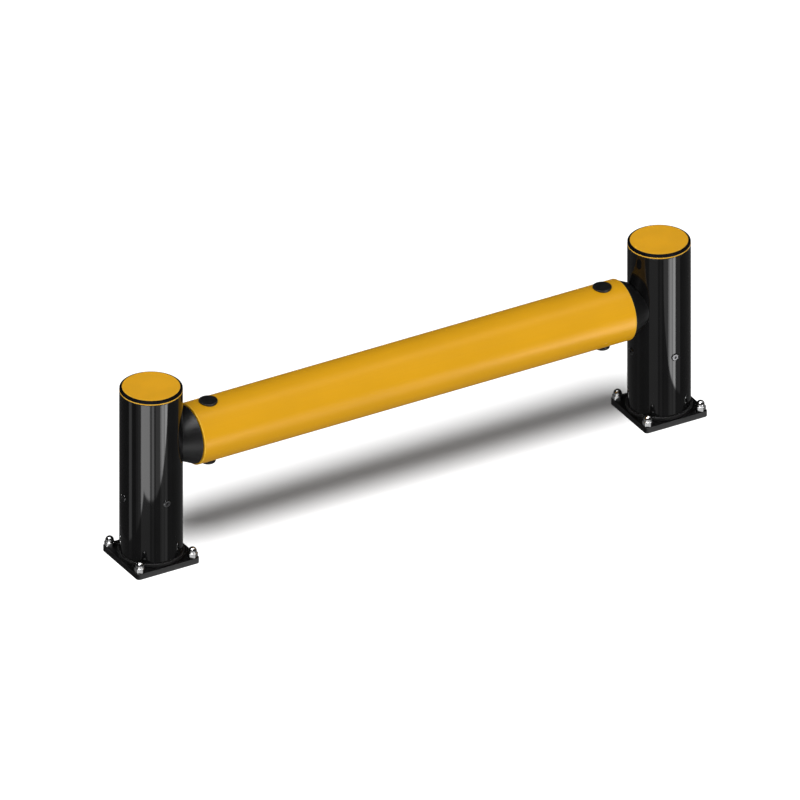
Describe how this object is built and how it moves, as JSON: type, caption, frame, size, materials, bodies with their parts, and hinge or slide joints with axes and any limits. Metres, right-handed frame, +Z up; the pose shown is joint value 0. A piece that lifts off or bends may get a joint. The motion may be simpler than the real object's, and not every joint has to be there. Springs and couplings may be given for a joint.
{
  "type": "single-rail flexible traffic barrier",
  "caption": "Low impact barrier: a yellow tube rail pinned between two short black tube posts on bolted-down square steel plates.",
  "frame": {"origin": "on the floor, midway between the two posts", "axes": "+X along the rail, +Z up, -Y the side that the picture's camera stands on"},
  "size_m": [2.062, 0.226, 0.615],
  "materials": {
    "powder_coated_steel": "satin black powder coat",
    "zinc_plated_steel": "zinc plated",
    "stainless_nuts": "bright stainless",
    "dark_screw_steel": "black oxide",
    "black_rubber": "matt moulded rubber",
    "black_gloss_tube": "glossy extruded polymer",
    "black_moulded_plastic": "satin moulded polymer",
    "yellow_rail_plastic": "semi-gloss extruded polymer",
    "yellow_cap_plastic": "semi-gloss moulded polymer"
  },
  "bodies": {
    "base": {"left_base_plate": "powder_coated_steel", "left_socket_pipe": "zinc_plated_steel", "left_anchor_stud_1": "zinc_plated_steel", "left_cap_nut_1": "stainless_nuts", "left_anchor_stud_2": "zinc_plated_steel", "left_cap_nut_2": "stainless_nuts", "left_anchor_stud_3": "zinc_plated_steel", "left_cap_nut_3": "stainless_nuts", "left_anchor_stud_4": "zinc_plated_steel", "left_cap_nut_4": "stainless_nuts", "left_foot_ring": "black_rubber", "left_flexible_core": "black_rubber", "right_base_plate": "powder_coated_steel", "right_socket_pipe": "zinc_plated_steel", "right_anchor_stud_1": "zinc_plated_steel", "right_cap_nut_1": "stainless_nuts", "right_anchor_stud_2": "zinc_plated_steel", "right_cap_nut_2": "stainless_nuts", "right_anchor_stud_3": "zinc_plated_steel", "right_cap_nut_3": "stainless_nuts", "right_anchor_stud_4": "zinc_plated_steel", "right_cap_nut_4": "stainless_nuts", "right_foot_ring": "black_rubber", "right_flexible_core": "black_rubber"},
    "barrier": {"left_post_tube": "black_gloss_tube", "left_core_collar": "black_moulded_plastic", "left_post_screw_1": "dark_screw_steel", "left_post_screw_2": "dark_screw_steel", "left_post_screw_3": "dark_screw_steel", "left_post_screw_4": "dark_screw_steel", "left_post_cap": "yellow_cap_plastic", "left_cap_trim_ring": "black_moulded_plastic", "left_rail_connector": "black_moulded_plastic", "left_neck_lock_pin": "zinc_plated_steel", "left_rail_pin": "zinc_plated_steel", "left_rail_pin_cap": "black_moulded_plastic", "left_rail_pin_nut": "black_moulded_plastic", "right_post_tube": "black_gloss_tube", "right_core_collar": "black_moulded_plastic", "right_post_screw_1": "dark_screw_steel", "right_post_screw_2": "dark_screw_steel", "right_post_screw_3": "dark_screw_steel", "right_post_screw_4": "dark_screw_steel", "right_post_cap": "yellow_cap_plastic", "right_cap_trim_ring": "black_moulded_plastic", "right_rail_connector": "black_moulded_plastic", "right_neck_lock_pin": "zinc_plated_steel", "right_rail_pin": "zinc_plated_steel", "right_rail_pin_cap": "black_moulded_plastic", "right_rail_pin_nut": "black_moulded_plastic", "rail_tube": "yellow_rail_plastic"}
  },
  "joints": [
    {"name": "barrier_lean", "type": "hinge", "parent": "base", "child": "barrier", "pos_m": [0, 0, 0.031], "axis": [1, 0, 0], "range_deg": [-4, 4], "stiffness_Nm_per_rad": 30000, "deforming": ["left_foot_ring", "left_flexible_core", "right_foot_ring", "right_flexible_core"]}
  ]
}
